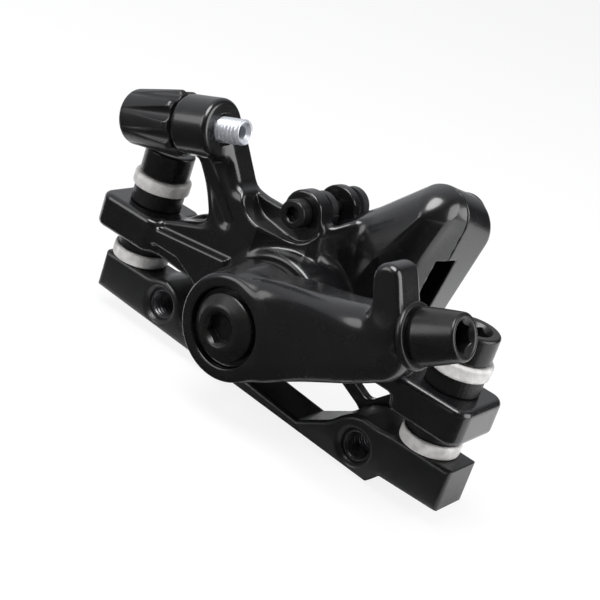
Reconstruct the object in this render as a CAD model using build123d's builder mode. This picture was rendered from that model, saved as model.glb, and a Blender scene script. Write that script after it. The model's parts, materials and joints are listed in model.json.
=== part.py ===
from build123d import *
import os
from math import atan2, cos, degrees, pi, radians, sin, sqrt

os.makedirs("parts", exist_ok=True)

# Frame: +X along the adapter, +Y inboard, towards the wheel's hub, and +Z away from the frame's tabs.
# The origin is where the actuator's axis crosses the rotor's mid-plane. Lengths are in millimetres.

# Fits and one overrun that every cut shares
fit = 0.05
slack = 0.3
cut_overrun = 1.0

# Standard interfaces
post_spacing = 74.0
post_line_y = -10.3
tab_face_y = -15.3
frame_hole_spacing = 51.0
frame_hole_rise = 2.44
frame_hole_mid_z = -12.38
frame_hole_d = 5.0
frame_sink_d = 7.8
frame_sink_depth = 1.4
bolt_d = 6.0

# Adapter
adapter_depth = 9.7
adapter_top_z = -7.2
adapter_left_x = -42.0
adapter_right_x = 45.0
adapter_right_low_z = -15.6
adapter_step_reach = 4.0
adapter_step_run = 2.5
adapter_step_z = -16.0
adapter_low_margin = 4.7
adapter_boss_r = 4.8
adapter_right_boss_r = 5.9
adapter_bar_height = 2.8
adapter_left_flat_reach = 3.6
adapter_right_flat_reach = 6.2
adapter_left_foot = 7.6
adapter_right_foot = 12.9
adapter_edge = 0.8
adapter_boss_share = 0.95

# Swivel washers, two pairs on each post
cup_r = 5.8
cup_height = 2.8
ball_washer_r = 5.3
ball_washer_height = 2.6
upper_ball_height = 3.4
swivel_r = 11.0
washer_bore_r = 3.3
ball_bore_r = 3.7

# Ears
ear_length = 15.5
ear_depth = 15.0
ear_height = 7.0
ear_inner_x = 29.5
ear_front_y = -18.3
ear_slot_length = 9.6
ear_slot_width = 6.6
ear_corner = 2.6
ear_edge = 0.9

# Bolt heads
mount_head_r = 5.0
mount_head_height = 5.5
mount_head_edge = 0.4
mount_socket_across = 5.0
mount_socket_depth = 3.2
mount_bolt_bite = 6.6

# Rotor slot and pads
slot_half = 2.3
pad_face_y = 2.15
lining_thickness = 2.15
plate_thickness = 1.8
pad_width = 22.0
pad_low_z = -9.0
pad_top_z = 8.6
pad_corner = 4.0
lining_inset = 0.9
tab_width = 7.6
tab_eye_r = 3.6
pocket_clearance = 0.4
rotor_r = 80.0
rotor_centre_x = 36.2
rotor_centre_z = -59.9
rotor_clearance = 2.0

# Pad pin and its lugs
pin_x = -3.4
pin_z = 19.4
pin_d = 3.0
pin_head_d = 5.5
pin_head_height = 3.0
pin_socket_across = 2.5
pin_socket_depth = 1.6
front_lug_y = -11.3
front_lug_depth = 4.0
lug_r = 4.3
pin_recess_r = 5.6
lug_foot_x = -1.6
lug_foot_z = 10.0
lug_foot_r = 5.2
pin_tail = 1.0
clip_thickness = 0.6
clip_bite = 0.4
clip_r = 2.9

# Actuator's housing and its parts
housing_front_y = -16.5
housing_front_r = 12.2
housing_back_r = 13.3
housing_wall = 2.4
housing_bore_r = 9.6
housing_edge = 1.2
shaft_r = 4.0
bush_wall = 0.9
ramp_plate_thickness = 2.0
ramp_disc_r = 9.0
ball_r = 1.5
ball_orbit_r = 6.4
ball_count = 3
ramp_gap = 0.7
ramp_disc_thickness = 2.2
thrust_thickness = 0.5
pusher_r = 7.0
pad_advance = 1.2
lever_turn_deg = 45.0
track_clearance = 0.3
track_spare_deg = 6.0

# Beak, which joins the halves on the right: two circles and their tangents
beak_tip_x = 18.5
beak_tip_z = 28.7
beak_tip_r = 5.4
beak_root_x = 7.5
beak_root_z = 6.0
beak_root_r = 13.4
beak_depth = 9.0
beak_taper = 7.0
beak_edge = 3.2
inboard_tip_x = 17.9
inboard_tip_z = 24.9
inboard_tip_r = 6.3
inboard_depth = 9.8
inboard_edge = 1.4

# Body bolts: one through the beak, one through the join on the left
beak_bolt_x = 16.4
beak_bolt_z = 26.0
left_bolt_x = -22.0
left_bolt_z = 4.0
left_boss_r = 5.4
left_join_depth = 11.5
left_join_r = 9.0
body_head_r = 4.7
body_head_height = 5.0

# Cable bracket: an arm up to the boss, a web down to the left ear and a saddle to the pin's lug
bracket_front_y = -16.2
bracket_depth = 7.0
arm_top_x = -24.9
arm_top_z = 25.6
arm_top_r = 4.4
arm_foot_x = -16.2
arm_foot_z = 14.0
arm_foot_r = 4.3
web_left_x = -31.0
web_left_z = 1.6
web_left_r = 3.2
web_right_x = -8.0
web_right_z = 5.4
web_right_r = 8.6
saddle_left_x = -12.4
saddle_right_x = -4.0
saddle_z = 13.3
saddle_r = 5.2
channel_width = 2.6
channel_depth = 1.4
channel_top_x = -24.6
channel_top_z = 20.6
channel_foot_x = -15.8
channel_foot_z = 12.6

# Links from the housing to the ears
link_front_y = -17.6
link_top_z = 3.6
link_rise = 2.2
link_low_z = 0.7
left_link_knee_x = -23.5
left_link_heel_x = -17.5
left_link_heel_z = -2.1
right_link_knee_x = 23.5
right_link_top_z = 6.2
link_root_share = 0.62
link_heel_share = 0.66

# Strut under the right link, behind the adapter
strut_front_y = -5.2
strut_depth = 2.4
strut_root_x = 9.0
strut_root_z = -5.2
strut_foot_x = 20.2
strut_foot_z = -10.5
strut_ear_x = 31.0
strut_ear_z = 0.2
strut_r = 1.7

# Barrel adjuster
barrel_rise_deg = 17.4
barrel_y = -17.0
boss_face_x = -21.55
boss_face_z = 28.35
boss_r = 5.8
boss_length = 8.8
boss_edge = 0.9
barrel_screw_r = 2.5
barrel_tip = 5.0
barrel_bore_r = 1.2
knob_length = 13.0
knob_inner_r = 6.5
knob_outer_r = 5.3
knob_edge = 1.2
knob_gap = 0.3
knob_ribs = 9
knob_groove_r = 0.7
housing_socket_r = 2.6
screw_bite = 4.0

# Lever
arm_rise_deg = 28.0
hub_front_y = -29.6
hub_back_y = -19.2
hub_front_r = 10.0
hub_back_r = 11.4
arm_end_u = 40.4
arm_end_front_y = -35.0
arm_end_back_y = -25.0
recess_r = 7.4
recess_depth = 1.6
lever_flange_r = 6.4
lever_flange_height = 1.5
lever_socket_across = 5.0
lever_socket_depth = 2.4
lever_bolt_r = 2.5
square_side = 5.6
square_length = 5.5
anchor_v = -0.8
anchor_y = -30.3
anchor_washer_r = 5.85
anchor_washer_height = 1.4
anchor_head_r = 4.95
anchor_head_tip_r = 4.0
anchor_head_length = 8.6
anchor_socket_across = 4.0
anchor_socket_depth = 3.4
anchor_shank_r = 2.5
anchor_shank_length = 9.0
anchor_head_edge = 0.5
arm_root_u = 6.0
arm_root_r = 9.6
arm_tip_u = 34.4
arm_tip_v = -1.6
arm_tip_r = 6.3
horn_low_u = 37.6
horn_low_v = 3.0
horn_low_r = 4.0
horn_top_u = 38.6
horn_top_v = 8.6
horn_top_r = 3.4
arm_bend_start_u = 12.0
arm_bend_end_u = 30.0

# Dust boot and return spring
boot_r = 10.6
boot_thickness = 1.2
spring_mean_r = 7.0
spring_wire_r = 0.6
spring_turns = 3
spring_pitch = 1.7
spring_hollow = 6.4
spring_samples = 90

# Inboard adjuster
dial_r = 8.4
dial_height = 3.6
dial_ribs = 16
seat_r = 7.0
seat_screw_r = 4.0
dial_stub_r = 2.2
detent_r = 6.2
detent_height = 0.7
seat_thickness = 1.6

# Pad spring, seated under the roof above the pads
spring_leaf_width = 5.0
spring_leaf_thickness = 0.4
spring_leg_z = 9.9
spring_crown_z = 13.9
spring_bend_r = 0.9


def facing(y, angle=0.0):
    """A plane at Y = y, seen from outboard: its normal is -Y and its X is turned up by the angle."""
    turn = radians(angle)
    return Plane(origin=(0, y, 0), x_dir=(cos(turn), 0, sin(turn)), z_dir=(0, -1, 0))


def hull_outline(y, *circles, angle=0.0):
    """The outline round some circles and their tangents, in a plane at Y = y that is turned up by the angle."""
    with BuildSketch(facing(y, angle)) as outline:
        for x, z, r in circles:
            with Locations((x, z)):
                Circle(r)
        make_hull(outline.edges())
    return outline.sketch


def save(part, name):
    """Gives the finished piece its name and writes its STEP file."""
    part.label = name
    export_step(part, f"parts/{name}.step")


post_x = post_spacing / 2
ear_back_y = ear_front_y + ear_depth
adapter_back_y = tab_face_y + adapter_depth

# Heights of the stack on each post
lower_cup_z = adapter_top_z
lower_ball_z = lower_cup_z + cup_height
ear_z = lower_ball_z + ball_washer_height - fit
ear_top_z = ear_z + ear_height
upper_cup_z = ear_top_z + upper_ball_height
head_z = upper_cup_z + cup_height

# Frame bolt holes, on a line that leans a little
hole_x = frame_hole_spacing / 2
hole_left_z = frame_hole_mid_z + frame_hole_rise / 2
hole_right_z = frame_hole_mid_z - frame_hole_rise / 2
hole_places = [(-hole_x, hole_left_z), (hole_x, hole_right_z)]

# Adapter: two end blocks, two frame bolt bosses and a thin bar between them
low_slope = frame_hole_rise / frame_hole_spacing
adapter_step_x = hole_x + adapter_step_reach


def low_z(x):
    """Height of the bar's lower edge, which runs parallel to the line through the frame bolt holes."""
    return frame_hole_mid_z - adapter_low_margin - low_slope * x


with BuildPart() as mount_adapter:
    with BuildSketch(facing(adapter_back_y)):
        with Locations(hole_places[0]):
            Circle(adapter_boss_r)
        with Locations(hole_places[1]):
            Circle(adapter_right_boss_r)
        with BuildLine():
            Polyline(
                (adapter_left_x, low_z(adapter_left_x)),
                (adapter_step_x, low_z(adapter_step_x)),
                (adapter_step_x, low_z(adapter_step_x) - adapter_right_boss_r),
                (adapter_left_x, low_z(adapter_left_x) - adapter_right_boss_r),
                close=True,
            )
        make_face(mode=Mode.SUBTRACT)
        with BuildLine():
            Polyline(
                (adapter_left_x, low_z(adapter_left_x)),
                (adapter_step_x, low_z(adapter_step_x)),
                (adapter_step_x + adapter_step_run, adapter_step_z),
                (adapter_right_x, adapter_right_low_z),
                (adapter_right_x, adapter_top_z),
                (hole_x + adapter_right_flat_reach, adapter_top_z),
                (hole_x, hole_right_z + adapter_right_boss_r * adapter_boss_share),
                (hole_x - adapter_right_foot, low_z(hole_x) + adapter_bar_height),
                (-hole_x + adapter_left_foot, low_z(-hole_x) + adapter_bar_height),
                (-hole_x, hole_left_z + adapter_boss_r * adapter_boss_share),
                (-hole_x - adapter_left_flat_reach, adapter_top_z),
                (adapter_left_x, adapter_top_z),
                close=True,
            )
        make_face()
    extrude(amount=adapter_depth)
    chamfer(mount_adapter.faces().sort_by(Axis.Y)[0].edges(), adapter_edge)
    with BuildSketch(facing(adapter_back_y)):
        with Locations(hole_places):
            Circle(frame_hole_d / 2)
    extrude(amount=adapter_depth, mode=Mode.SUBTRACT)
    with BuildSketch(facing(tab_face_y)):
        with Locations(hole_places):
            Circle(frame_sink_d / 2)
    extrude(amount=-frame_sink_depth, taper=45, mode=Mode.SUBTRACT)
    with BuildSketch(Plane.XY.offset(adapter_top_z)):
        with Locations((-post_x, post_line_y), (post_x, post_line_y)):
            Circle(bolt_d / 2)
    extrude(amount=-mount_bolt_bite, mode=Mode.SUBTRACT)
save(mount_adapter.part, "mount_adapter")


def cup_washer(z, up):
    """A washer with a hollow ball seat, open upwards (up = 1) or downwards (up = -1)."""
    base = z if up > 0 else z + cup_height
    rim = base + up * cup_height
    centre = rim + up * sqrt(swivel_r**2 - ball_washer_r**2)
    with BuildPart() as washer:
        with BuildSketch(Plane.XY.offset(min(base, rim))):
            with Locations((-post_x, post_line_y), (post_x, post_line_y)):
                Circle(cup_r)
                Circle(washer_bore_r, mode=Mode.SUBTRACT)
        extrude(amount=cup_height)
        with Locations((-post_x, post_line_y, centre), (post_x, post_line_y, centre)):
            Sphere(swivel_r + fit, mode=Mode.SUBTRACT)
    return washer.part


def ball_washer(z, height, up):
    """A washer with a domed face, up = 1, that sits in the cup; its flat face is at z."""
    rim = z + up * height
    centre = rim - up * sqrt(swivel_r**2 - ball_washer_r**2)
    crown = centre + up * swivel_r
    with BuildPart() as washer:
        with BuildSketch(Plane.XY.offset(min(z, crown))):
            with Locations((-post_x, post_line_y), (post_x, post_line_y)):
                Circle(ball_washer_r)
                Circle(ball_bore_r, mode=Mode.SUBTRACT)
        extrude(amount=abs(crown - z))
        with Locations((-post_x, post_line_y, centre), (post_x, post_line_y, centre)):
            Sphere(swivel_r, mode=Mode.INTERSECT)
    return washer.part


save(cup_washer(lower_cup_z, 1), "lower_cup_washers")
save(cup_washer(upper_cup_z, -1), "upper_cup_washers")
save(ball_washer(ear_z, ear_z - lower_ball_z, -1), "lower_ball_washers")
save(ball_washer(ear_top_z, upper_ball_height, 1), "upper_ball_washers")

# Mounting bolts: socket heads on the upper cups, threaded into the adapter
with BuildPart() as mount_bolts:
    with BuildSketch(Plane.XY.offset(head_z)):
        with Locations((-post_x, post_line_y), (post_x, post_line_y)):
            Circle(mount_head_r)
    extrude(amount=mount_head_height)
    chamfer(mount_bolts.faces().sort_by(Axis.Z)[-2:].edges(), mount_head_edge)
    with BuildSketch(Plane.XY.offset(adapter_top_z - mount_bolt_bite + slack)):
        with Locations((-post_x, post_line_y), (post_x, post_line_y)):
            Circle(bolt_d / 2 - fit)
    extrude(amount=head_z - adapter_top_z + mount_bolt_bite)
    with BuildSketch(Plane.XY.offset(head_z + mount_head_height)):
        with Locations((-post_x, post_line_y), (post_x, post_line_y)):
            RegularPolygon(mount_socket_across / 2, 6, major_radius=False)
    extrude(amount=-mount_socket_depth, mode=Mode.SUBTRACT)
save(mount_bolts.part, "mount_bolts")

# Actuator stack, from the housing's front wall inboard
plate_back_y = pad_face_y + lining_thickness + plate_thickness
plate_front_y = pad_face_y + lining_thickness
seat_back_y = plate_back_y + seat_thickness
spring_leg_y = plate_front_y - pad_advance - slack - spring_leaf_thickness
pusher_y = -plate_back_y
housing_floor_y = housing_front_y + housing_wall
ramp_plate_y = housing_floor_y + ramp_plate_thickness
disc_front_y = ramp_plate_y + ramp_gap
disc_back_y = disc_front_y + ramp_disc_thickness
thrust_back_y = disc_back_y + thrust_thickness

# Cable bracket's boss, along the barrel adjuster's axis
barrel_turn = radians(barrel_rise_deg)
barrel_dir = Vector(cos(barrel_turn), 0, sin(barrel_turn))
boss_face = Vector(boss_face_x, barrel_y, boss_face_z)


def barrel_plane(along):
    """A plane square to the barrel's axis, this far from the boss's face towards the tip."""
    return Plane(origin=boss_face + barrel_dir * along, x_dir=(0, 1, 0), z_dir=barrel_dir)


# Circles whose hulls make the castings' outlines: x, z and radius
beak_tip = (beak_tip_x, beak_tip_z, beak_tip_r)
beak_root = (beak_root_x, beak_root_z, beak_root_r)
inboard_tip = (inboard_tip_x, inboard_tip_z, inboard_tip_r)
left_boss = (left_bolt_x, left_bolt_z, left_boss_r)
left_join = (0, 0, left_join_r)
arm_top = (arm_top_x, arm_top_z, arm_top_r)
arm_foot = (arm_foot_x, arm_foot_z, arm_foot_r)
web_left = (web_left_x, web_left_z, web_left_r)
web_right = (web_right_x, web_right_z, web_right_r)
saddle_left = (saddle_left_x, saddle_z, saddle_r)
saddle_right = (saddle_right_x, saddle_z, saddle_r)
pin_lug = (pin_x, pin_z, lug_r)
lug_foot = (lug_foot_x, lug_foot_z, lug_foot_r)
strut_root = (strut_root_x, strut_root_z, strut_r)
strut_foot = (strut_foot_x, strut_foot_z, strut_r)
strut_ear = (strut_ear_x, strut_ear_z, strut_r)
rotor_edge_r = rotor_r + rotor_clearance
channel_run = Vector(channel_foot_x - channel_top_x, channel_foot_z - channel_top_z)
channel_angle = degrees(atan2(channel_run.Y, channel_run.X))
housing_foot_x = housing_front_r * link_root_share
housing_foot_z = -housing_front_r * link_heel_share

# Boss at the end of the cable bracket's arm
with BuildPart() as barrel_boss:
    with BuildSketch(barrel_plane(-boss_length)):
        Circle(boss_r)
    extrude(amount=boss_length)
    chamfer(barrel_boss.edges(), boss_edge)

# Space for the rotor's rim, with room for the pads, their tabs and their spring
tab_room_height = pin_z + lug_r - pad_top_z + cut_overrun
with BuildPart() as rotor_room:
    with BuildSketch(facing(slot_half)):
        with Locations((rotor_centre_x, rotor_centre_z)):
            Circle(rotor_edge_r)
    extrude(amount=slot_half * 2)
    with BuildSketch(facing(plate_back_y + slack)):
        with Locations((0, (pad_low_z + pad_top_z) / 2)):
            Rectangle(pad_width + pocket_clearance * 2, pad_top_z - pad_low_z + pocket_clearance * 2)
    extrude(amount=(plate_back_y + slack) * 2)
    for tab_y in (-plate_front_y + pad_advance, plate_back_y + slack):
        with BuildSketch(facing(tab_y)):
            with Locations((pin_x, pad_top_z + tab_room_height / 2)):
                Rectangle(tab_width + pocket_clearance * 2, tab_room_height)
        extrude(amount=plate_thickness + pad_advance + slack)
    with BuildSketch(facing(spring_leg_y + spring_leaf_thickness + slack)):
        with Locations((pin_x, (spring_leg_z + spring_crown_z) / 2)):
            Rectangle(spring_leaf_width + slack * 2, spring_crown_z - spring_leg_z + fit * 2)
    extrude(amount=(spring_leg_y + spring_leaf_thickness + slack) * 2)

with BuildPart() as outboard_body:
    # Beak
    extrude(to_extrude=hull_outline(0, beak_tip, beak_root), amount=beak_depth, taper=beak_taper)
    fillet(outboard_body.faces().sort_by(Axis.Y)[0].edges(), beak_edge)
    # Ears
    with BuildSketch(Plane.XY.offset(ear_z)):
        with Locations(
            (-ear_inner_x - ear_length / 2, (ear_front_y + ear_back_y) / 2),
            (ear_inner_x + ear_length / 2, (ear_front_y + ear_back_y) / 2),
        ):
            RectangleRounded(ear_length, ear_depth, ear_corner)
    extrude(amount=ear_height)
    fillet(outboard_body.faces().filter_by(Axis.Z).edges(), ear_edge)
    # Actuator housing
    with BuildSketch(Plane.XY):
        with BuildLine():
            Polyline(
                (0, housing_front_y),
                (housing_front_r - housing_edge, housing_front_y),
                (housing_front_r, housing_front_y + housing_edge),
                (housing_back_r, pusher_y),
                (housing_back_r, -slot_half),
                (0, -slot_half),
                close=True,
            )
        make_face()
    revolve(axis=Axis.Y)
    # Left join, for the body bolt that the bracket hides
    extrude(to_extrude=hull_outline(0, left_boss, left_join), amount=left_join_depth)
    # Cable bracket: arm, web and saddle
    for limb in ((arm_top, arm_foot), (web_left, web_right), (saddle_left, saddle_right)):
        extrude(to_extrude=hull_outline(bracket_front_y + bracket_depth, *limb), amount=bracket_depth)
    # Left link, a bar that stands forward of the web
    with BuildSketch(facing(bracket_front_y + bracket_depth / 2)):
        with BuildLine():
            Polyline(
                (-ear_inner_x - ear_corner, link_low_z),
                (-ear_inner_x - ear_corner, link_top_z),
                (-housing_front_r, link_top_z + link_rise),
                (-housing_foot_x, housing_foot_z),
                (left_link_heel_x, left_link_heel_z),
                (left_link_knee_x, link_low_z),
                close=True,
            )
        make_face()
    extrude(amount=bracket_front_y + bracket_depth / 2 - link_front_y)
    # Right link, from the housing to the right ear
    with BuildSketch(facing(bracket_front_y + bracket_depth / 2)):
        with BuildLine():
            Polyline(
                (housing_foot_x, -housing_foot_z),
                (right_link_knee_x, right_link_top_z),
                (ear_inner_x + ear_corner, link_top_z),
                (ear_inner_x + ear_corner, link_low_z),
                (right_link_knee_x, link_low_z),
                (housing_foot_x, housing_foot_z),
                close=True,
            )
        make_face()
    extrude(amount=bracket_front_y + bracket_depth / 2 - link_front_y)
    # Strut: two thin bars that meet below the right link
    extrude(to_extrude=hull_outline(strut_front_y + strut_depth, strut_root, strut_foot), amount=strut_depth)
    extrude(to_extrude=hull_outline(strut_front_y + strut_depth, strut_foot, strut_ear), amount=strut_depth)
    add(barrel_boss.part)
    # Front lug for the pad pin
    extrude(to_extrude=hull_outline(front_lug_y + front_lug_depth, pin_lug, lug_foot), amount=front_lug_depth)
    # Recess for the pin's head, and the channel down the arm's front
    with BuildSketch(facing(front_lug_y)):
        with Locations((pin_x, pin_z)):
            Circle(pin_recess_r)
    extrude(amount=front_lug_y - link_front_y, mode=Mode.SUBTRACT)
    with BuildSketch(facing(bracket_front_y + channel_depth)):
        with Locations(((channel_top_x + channel_foot_x) / 2, (channel_top_z + channel_foot_z) / 2)):
            SlotCenterToCenter(channel_run.length, channel_width, rotation=channel_angle)
    extrude(amount=channel_depth + cut_overrun, mode=Mode.SUBTRACT)
    # Room for the rotor and the pads
    add(rotor_room.part, mode=Mode.SUBTRACT)
    # Round seat for the dust boot
    with BuildSketch(facing(housing_front_y)):
        Circle(boot_r + slack)
    extrude(amount=hub_front_r, mode=Mode.SUBTRACT)
    # Room for the barrel's knob behind its boss
    with BuildSketch(barrel_plane(-boss_length)):
        Circle(knob_inner_r + slack)
    extrude(amount=-knob_length, mode=Mode.SUBTRACT)
    # Bores for the actuator
    with BuildSketch(facing(pusher_y)):
        Circle(housing_bore_r)
    extrude(amount=pusher_y - housing_floor_y, mode=Mode.SUBTRACT)
    with BuildSketch(facing(housing_floor_y)):
        Circle(shaft_r + fit + bush_wall)
    extrude(amount=housing_wall, mode=Mode.SUBTRACT)
    # Bores for the barrel screw, the pad pin and the body bolts
    with BuildSketch(barrel_plane(0)):
        Circle(barrel_screw_r + fit)
    extrude(amount=-boss_length, mode=Mode.SUBTRACT)
    with BuildSketch(barrel_plane(0)):
        Circle(barrel_screw_r + slack)
    extrude(amount=barrel_tip, mode=Mode.SUBTRACT)
    with BuildSketch(facing(0)):
        with Locations((pin_x, pin_z)):
            Circle(pin_d / 2 + fit)
    extrude(amount=-front_lug_y, mode=Mode.SUBTRACT)
    with BuildSketch(facing(0)):
        with Locations((beak_bolt_x, beak_bolt_z), (left_bolt_x, left_bolt_z)):
            Circle(bolt_d / 2)
    extrude(amount=beak_depth - cut_overrun * 2, mode=Mode.SUBTRACT)
    # Slots in the ears
    with BuildSketch(Plane.XY.offset(ear_z)):
        with Locations((-post_x, post_line_y), (post_x, post_line_y)):
            SlotOverall(ear_slot_length, ear_slot_width, rotation=90)
    extrude(amount=ear_height, mode=Mode.SUBTRACT)
save(outboard_body.part, "outboard_body")

# Inboard body: the beak's other half, pad housing, left join and rear pin lug in one casting
with BuildPart() as inboard_body:
    loft(
        sections=[
            hull_outline(0, beak_tip, beak_root).face(),
            hull_outline(inboard_depth, inboard_tip, beak_root).face(),
        ],
        ruled=True,
    )
    extrude(to_extrude=hull_outline(0, left_boss, left_join), amount=-inboard_depth)
    with BuildSketch(facing(inboard_depth)):
        Circle(housing_back_r)
    extrude(amount=inboard_depth)
    fillet(inboard_body.faces().sort_by(Axis.Y)[-1].edges(), inboard_edge)
    extrude(to_extrude=hull_outline(0, pin_lug, lug_foot), amount=-slot_half)
    add(rotor_room.part, mode=Mode.SUBTRACT)
    # Room for the adjuster's seat, its bore, the pin hole and the bolt holes
    with BuildSketch(facing(seat_back_y + slack)):
        Circle(seat_r + slack)
    extrude(amount=seat_back_y, mode=Mode.SUBTRACT)
    with BuildSketch(facing(inboard_depth)):
        Circle(seat_screw_r + fit)
        with Locations((pin_x, pin_z)):
            Circle(pin_d / 2 + fit)
        with Locations((beak_bolt_x, beak_bolt_z), (left_bolt_x, left_bolt_z)):
            Circle(bolt_d / 2 + slack)
    extrude(amount=inboard_depth, mode=Mode.SUBTRACT)
save(inboard_body.part, "inboard_body")

# Body bolts, put in from the inboard side
with BuildPart() as body_bolts:
    with BuildSketch(facing(inboard_depth + body_head_height)):
        with Locations((beak_bolt_x, beak_bolt_z), (left_bolt_x, left_bolt_z)):
            Circle(body_head_r)
    extrude(amount=body_head_height)
    chamfer(body_bolts.faces().sort_by(Axis.Y)[-2:].edges(), mount_head_edge)
    with BuildSketch(facing(inboard_depth)):
        with Locations((beak_bolt_x, beak_bolt_z), (left_bolt_x, left_bolt_z)):
            Circle(bolt_d / 2 - fit)
    extrude(amount=inboard_depth + beak_depth - cut_overrun * 3)
    with BuildSketch(facing(inboard_depth + body_head_height)):
        with Locations((beak_bolt_x, beak_bolt_z), (left_bolt_x, left_bolt_z)):
            RegularPolygon(mount_socket_across / 2, 6, major_radius=False)
    extrude(amount=mount_socket_depth, mode=Mode.SUBTRACT)
save(body_bolts.part, "body_bolts")

# Pad pin with a socket head, and the clip on its tail
clip_y = plate_back_y + slack
pin_end_y = clip_y + clip_thickness + pin_tail
with BuildPart() as pad_pin:
    with BuildSketch(facing(front_lug_y)):
        with Locations((pin_x, pin_z)):
            Circle(pin_head_d / 2)
    extrude(amount=pin_head_height)
    with BuildSketch(facing(pin_end_y)):
        with Locations((pin_x, pin_z)):
            Circle(pin_d / 2)
    extrude(amount=pin_end_y - front_lug_y)
    with BuildSketch(facing(front_lug_y - pin_head_height)):
        with Locations((pin_x, pin_z)):
            RegularPolygon(pin_socket_across / 2, 6, major_radius=False)
    extrude(amount=-pin_socket_depth, mode=Mode.SUBTRACT)
    with BuildSketch(facing(clip_y + fit + clip_thickness)):
        with Locations((pin_x, pin_z)):
            Circle(pin_d / 2 + cut_overrun)
            Circle(pin_d / 2 - clip_bite, mode=Mode.SUBTRACT)
    extrude(amount=clip_thickness + fit * 2, mode=Mode.SUBTRACT)
save(pad_pin.part, "pad_pin")

with BuildPart() as pin_clip:
    with BuildSketch(facing(clip_y + clip_thickness)):
        with Locations((pin_x, pin_z)):
            Circle(clip_r)
            Circle(pin_d / 2 - clip_bite + fit, mode=Mode.SUBTRACT)
        with Locations((pin_x, pin_z - clip_r)):
            Rectangle((pin_d / 2 - clip_bite + fit) * 2, clip_r * 2, mode=Mode.SUBTRACT)
    extrude(amount=clip_thickness)
save(pin_clip.part, "pin_clip")


def pad_plate(front_y):
    """A pad's steel plate with the eye that hangs on the pin; its outboard face is at front_y."""
    with BuildPart() as plate:
        with BuildSketch(facing(front_y + plate_thickness)):
            with Locations((0, (pad_low_z + pad_top_z) / 2)):
                RectangleRounded(pad_width, pad_top_z - pad_low_z, pad_corner)
            with Locations((pin_x, (pad_top_z + pin_z) / 2)):
                Rectangle(tab_width, pin_z - pad_top_z + cut_overrun)
            with Locations((pin_x, pin_z)):
                Circle(tab_eye_r)
                Circle(pin_d / 2 + slack, mode=Mode.SUBTRACT)
        extrude(amount=plate_thickness)
    return plate.part


def pad_lining(front_y):
    """A pad's friction block; its outboard face is at front_y."""
    with BuildPart() as lining:
        with BuildSketch(facing(front_y + lining_thickness)):
            with Locations((0, (pad_low_z + pad_top_z) / 2)):
                RectangleRounded(
                    pad_width - lining_inset * 2,
                    pad_top_z - pad_low_z - lining_inset * 2,
                    pad_corner - lining_inset,
                )
        extrude(amount=lining_thickness)
    return lining.part


save(pad_plate(-plate_back_y), "outboard_pad_plate")
save(pad_lining(-pad_face_y - lining_thickness), "outboard_pad_lining")
save(pad_plate(plate_back_y - plate_thickness), "inboard_pad_plate")
save(pad_lining(pad_face_y), "inboard_pad_lining")

# Actuator stack: bush, fixed ramp plate, balls, ramp spindle, thrust washer and pusher
with BuildPart() as housing_bush:
    with BuildSketch(facing(housing_floor_y)):
        Circle(shaft_r + fit + bush_wall - fit / 2)
        Circle(shaft_r + fit, mode=Mode.SUBTRACT)
    extrude(amount=housing_wall)
save(housing_bush.part, "housing_bush")

ball_y = (ramp_plate_y + disc_front_y) / 2
ball_places = [
    (ball_orbit_r * sin(2 * pi * step / ball_count), ball_y, ball_orbit_r * cos(2 * pi * step / ball_count))
    for step in range(ball_count)
]
with BuildPart() as ramp_plate:
    with BuildSketch(facing(ramp_plate_y)):
        Circle(housing_bore_r - fit)
        Circle(shaft_r + slack, mode=Mode.SUBTRACT)
    extrude(amount=ramp_plate_thickness)
    with Locations(*ball_places):
        Sphere(ball_r + fit / 2, mode=Mode.SUBTRACT)
save(ramp_plate.part, "ramp_plate")

with BuildPart() as ramp_balls:
    with Locations(*ball_places):
        Sphere(ball_r)
save(ramp_balls.part, "ramp_balls")

# Ramp spindle: a disc with three falling ball tracks, a round neck and a square for the lever
track_span_deg = lever_turn_deg + track_spare_deg
ramp_lean = pad_advance / (ball_orbit_r * sin(radians(lever_turn_deg)))
with BuildPart() as ramp_spindle:
    with BuildSketch(facing(disc_back_y)):
        Circle(ramp_disc_r)
    extrude(amount=ramp_disc_thickness)
    with BuildSketch(facing(disc_front_y)):
        Circle(shaft_r)
    extrude(amount=disc_front_y - hub_back_y)
    with BuildSketch(facing(hub_back_y)):
        Rectangle(square_side, square_side)
    extrude(amount=square_length)
    with BuildSketch(facing(hub_back_y - square_length)):
        Circle(lever_bolt_r + fit)
    extrude(amount=-square_length - slack, mode=Mode.SUBTRACT)
    for step in range(ball_count):
        turn = 2 * pi * step / ball_count
        outward = Vector(sin(turn), 0, cos(turn))
        around = Vector(cos(turn), 0, -sin(turn))
        lean = Vector(0, 1, 0) + around * ramp_lean
        track_plane = Plane(origin=(0, ball_y, 0), x_dir=outward, z_dir=outward.cross(lean))
        with BuildSketch(track_plane):
            with Locations((ball_orbit_r, 0)):
                Circle(ball_r + track_clearance)
        revolve(axis=Axis((0, ball_y, 0), lean), revolution_arc=track_span_deg, mode=Mode.SUBTRACT)
    with Locations(*ball_places):
        Sphere(ball_r + track_clearance, mode=Mode.SUBTRACT)
save(ramp_spindle.part, "ramp_spindle")

with BuildPart() as thrust_washer:
    with BuildSketch(facing(thrust_back_y)):
        Circle(pusher_r + thrust_thickness)
    extrude(amount=thrust_thickness)
save(thrust_washer.part, "thrust_washer")

with BuildPart() as pusher:
    with BuildSketch(facing(pusher_y)):
        Circle(pusher_r)
    extrude(amount=pusher_y - thrust_back_y)
save(pusher.part, "pusher")

# Dust boot between the housing and the lever
with BuildPart() as dust_boot:
    with BuildSketch(facing(housing_front_y)):
        Circle(boot_r)
        Circle(shaft_r + slack * 2, mode=Mode.SUBTRACT)
    extrude(amount=boot_thickness)
save(dust_boot.part, "dust_boot")

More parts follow.
